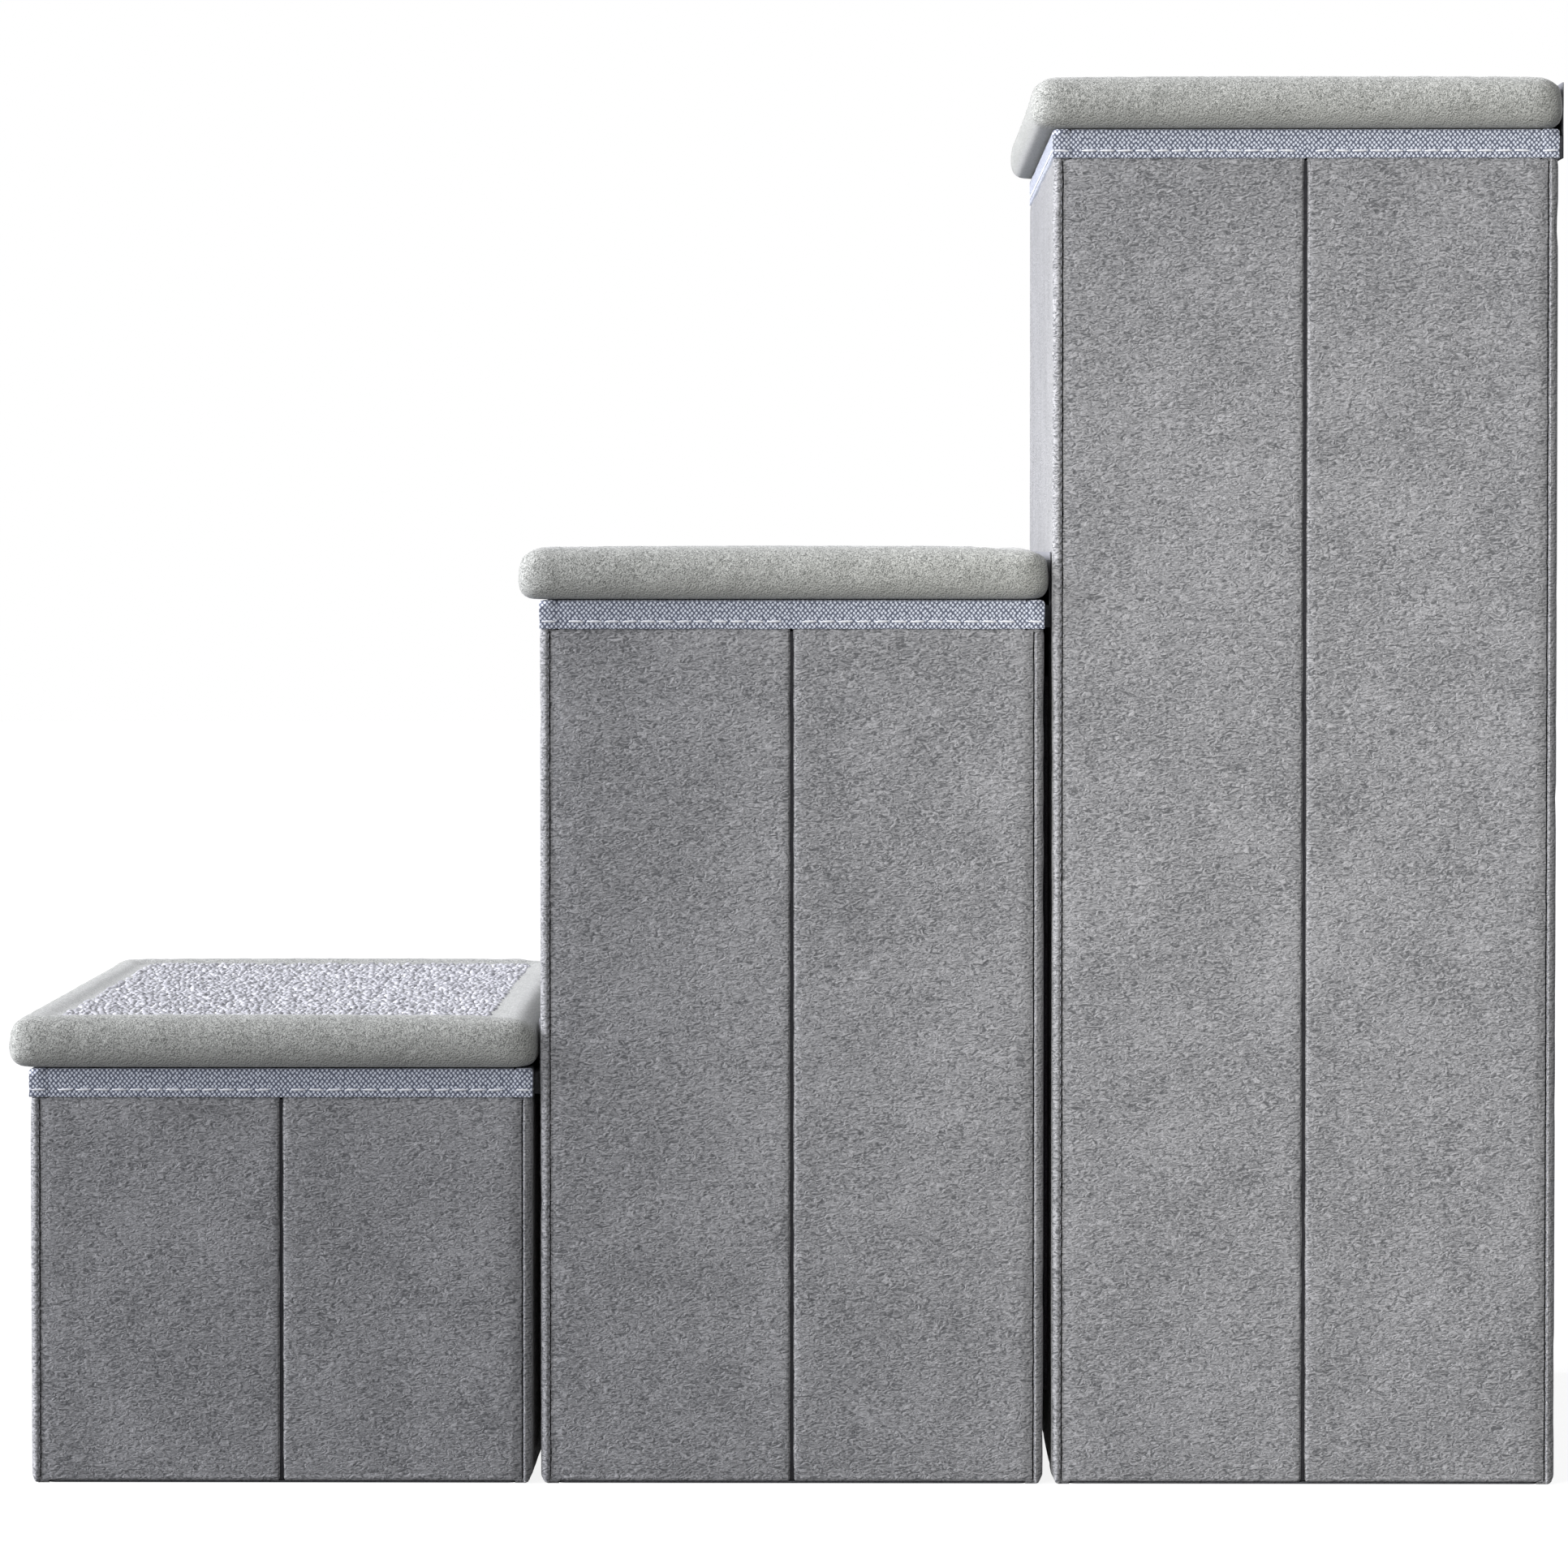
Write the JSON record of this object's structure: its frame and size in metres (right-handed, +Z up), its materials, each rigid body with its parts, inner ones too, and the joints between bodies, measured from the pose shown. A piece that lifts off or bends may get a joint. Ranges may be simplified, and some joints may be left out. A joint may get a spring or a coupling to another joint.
{
  "type": "pet stairs",
  "caption": "Pet stairs made of joined fabric storage boxes of rising height, each with a hinged padded lid topped with loop carpet; the boxes fold flat.",
  "frame": {"origin": "on the floor, at the centre of the outline", "axes": "+X towards the tall end, +Y across the steps, away from the pictured side, +Z up"},
  "size_m": [0.5978, 0.3896, 0.54],
  "materials": {
    "side_velvet": "short-nap velvet",
    "lid_plush": "plush velvet",
    "loop_carpet": "looped pile",
    "binding_tape": "dotted woven tape, stitched on",
    "fibreboard": "bare board",
    "floor_felt": "non-woven felt"
  },
  "bodies": {
    "riser_2_3": {"riser_boards_2_3": "fibreboard", "riser_covers_2_3": "side_velvet", "riser_bindings_2_3": "binding_tape", "floor_cloth_2": "floor_felt", "floor_cloth_3": "floor_felt"},
    "riser_1_2": {"riser_boards_1_2": "fibreboard", "riser_covers_1_2": "side_velvet", "riser_bindings_1_2": "binding_tape", "floor_cloth_1": "floor_felt"},
    "front_1": {"front_board_1": "fibreboard", "front_cover_1": "side_velvet", "front_binding_1": "binding_tape"},
    "back_3": {"back_board_3": "fibreboard", "back_cover_3": "side_velvet", "back_binding_3": "binding_tape"},
    "near_front_1": {"near_front_board_1": "fibreboard", "near_front_cover_1": "side_velvet", "near_front_binding_1": "binding_tape"},
    "near_rear_1": {"near_rear_board_1": "fibreboard", "near_rear_cover_1": "side_velvet", "near_rear_binding_1": "binding_tape"},
    "far_front_1": {"far_front_board_1": "fibreboard", "far_front_cover_1": "side_velvet", "far_front_binding_1": "binding_tape"},
    "far_rear_1": {"far_rear_board_1": "fibreboard", "far_rear_cover_1": "side_velvet", "far_rear_binding_1": "binding_tape"},
    "lid_1": {"lid_board_1": "fibreboard", "lid_pad_1": "lid_plush", "lid_carpet_1": "loop_carpet"},
    "near_front_2": {"near_front_board_2": "fibreboard", "near_front_cover_2": "side_velvet", "near_front_binding_2": "binding_tape"},
    "near_rear_2": {"near_rear_board_2": "fibreboard", "near_rear_cover_2": "side_velvet", "near_rear_binding_2": "binding_tape"},
    "far_front_2": {"far_front_board_2": "fibreboard", "far_front_cover_2": "side_velvet", "far_front_binding_2": "binding_tape"},
    "far_rear_2": {"far_rear_board_2": "fibreboard", "far_rear_cover_2": "side_velvet", "far_rear_binding_2": "binding_tape"},
    "lid_2": {"lid_board_2": "fibreboard", "lid_pad_2": "lid_plush", "lid_carpet_2": "loop_carpet"},
    "near_front_3": {"near_front_board_3": "fibreboard", "near_front_cover_3": "side_velvet", "near_front_binding_3": "binding_tape"},
    "near_rear_3": {"near_rear_board_3": "fibreboard", "near_rear_cover_3": "side_velvet", "near_rear_binding_3": "binding_tape"},
    "far_front_3": {"far_front_board_3": "fibreboard", "far_front_cover_3": "side_velvet", "far_front_binding_3": "binding_tape"},
    "far_rear_3": {"far_rear_board_3": "fibreboard", "far_rear_cover_3": "side_velvet", "far_rear_binding_3": "binding_tape"},
    "lid_3": {"lid_board_3": "fibreboard", "lid_pad_3": "lid_plush", "lid_carpet_3": "loop_carpet"}
  },
  "joints": [
    {"name": "box_3_fold", "type": "hinge", "parent": "riser_2_3", "child": "near_front_3", "pos_m": [0.11025, -0.1845, 0], "axis": [0, 0, -1], "range_deg": [-88, 0], "deforming": ["floor_cloth_3"]},
    {"name": "near_middle_3", "type": "hinge", "parent": "near_front_3", "child": "near_rear_3", "pos_m": [0.1995, -0.1904, 0], "axis": [0, 0, -1], "range_deg": [0, 188]},
    {"name": "near_end_3", "type": "hinge", "parent": "near_rear_3", "child": "back_3", "pos_m": [0.28875, -0.1845, 0], "axis": [0, 0, -1], "range_deg": [-94, 0]},
    {"name": "far_start_3", "type": "hinge", "parent": "riser_2_3", "child": "far_front_3", "pos_m": [0.11025, 0.1845, 0], "axis": [0, 0, 1], "range_deg": [-94, 0]},
    {"name": "far_middle_3", "type": "hinge", "parent": "far_front_3", "child": "far_rear_3", "pos_m": [0.1995, 0.1904, 0], "axis": [0, 0, 1], "range_deg": [0, 188]},
    {"name": "box_2_fold", "type": "hinge", "parent": "riser_2_3", "child": "near_rear_2", "pos_m": [0.09225, -0.1845, 0], "axis": [0, 0, 1], "range_deg": [-88, 0], "deforming": ["floor_cloth_2"]},
    {"name": "near_middle_2", "type": "hinge", "parent": "near_rear_2", "child": "near_front_2", "pos_m": [0.003, -0.1904, 0], "axis": [0, 0, 1], "range_deg": [0, 188]},
    {"name": "near_end_2", "type": "hinge", "parent": "near_front_2", "child": "riser_1_2", "pos_m": [-0.08625, -0.1845, 0], "axis": [0, 0, 1], "range_deg": [-94, 0]},
    {"name": "far_start_2", "type": "hinge", "parent": "riser_2_3", "child": "far_rear_2", "pos_m": [0.09225, 0.1845, 0], "axis": [0, 0, -1], "range_deg": [-94, 0]},
    {"name": "far_middle_2", "type": "hinge", "parent": "far_rear_2", "child": "far_front_2", "pos_m": [0.003, 0.1904, 0], "axis": [0, 0, -1], "range_deg": [0, 188]},
    {"name": "box_1_fold", "type": "hinge", "parent": "riser_1_2", "child": "near_rear_1", "pos_m": [-0.10425, -0.1845, 0], "axis": [0, 0, 1], "range_deg": [-88, 0], "deforming": ["floor_cloth_1"]},
    {"name": "near_middle_1", "type": "hinge", "parent": "near_rear_1", "child": "near_front_1", "pos_m": [-0.1935, -0.1904, 0], "axis": [0, 0, 1], "range_deg": [0, 188]},
    {"name": "near_end_1", "type": "hinge", "parent": "near_front_1", "child": "front_1", "pos_m": [-0.28275, -0.1845, 0], "axis": [0, 0, 1], "range_deg": [-94, 0]},
    {"name": "far_start_1", "type": "hinge", "parent": "riser_1_2", "child": "far_rear_1", "pos_m": [-0.10425, 0.1845, 0], "axis": [0, 0, -1], "range_deg": [-94, 0]},
    {"name": "far_middle_1", "type": "hinge", "parent": "far_rear_1", "child": "far_front_1", "pos_m": [-0.1935, 0.1904, 0], "axis": [0, 0, -1], "range_deg": [0, 188]},
    {"name": "lid_1_hinge", "type": "hinge", "parent": "riser_1_2", "child": "lid_1", "pos_m": [-0.09475, 0, 0.179], "axis": [0, 1, 0], "range_deg": [0, 86]},
    {"name": "lid_2_hinge", "type": "hinge", "parent": "riser_2_3", "child": "lid_2", "pos_m": [0.10175, 0, 0.359], "axis": [0, 1, 0], "range_deg": [0, 86]},
    {"name": "lid_3_hinge", "type": "hinge", "parent": "back_3", "child": "lid_3", "pos_m": [0.29825, 0, 0.539], "axis": [0, 1, 0], "range_deg": [0, 180]}
  ],
  "couplings": [
    {"joint": "near_middle_3", "follows": "box_3_fold", "ratio": -2},
    {"joint": "near_end_3", "follows": "box_3_fold", "ratio": 1},
    {"joint": "far_start_3", "follows": "box_3_fold", "ratio": 1},
    {"joint": "far_middle_3", "follows": "box_3_fold", "ratio": -2},
    {"joint": "near_middle_2", "follows": "box_2_fold", "ratio": -2},
    {"joint": "near_end_2", "follows": "box_2_fold", "ratio": 1},
    {"joint": "far_start_2", "follows": "box_2_fold", "ratio": 1},
    {"joint": "far_middle_2", "follows": "box_2_fold", "ratio": -2},
    {"joint": "near_middle_1", "follows": "box_1_fold", "ratio": -2},
    {"joint": "near_end_1", "follows": "box_1_fold", "ratio": 1},
    {"joint": "far_start_1", "follows": "box_1_fold", "ratio": 1},
    {"joint": "far_middle_1", "follows": "box_1_fold", "ratio": -2}
  ]
}
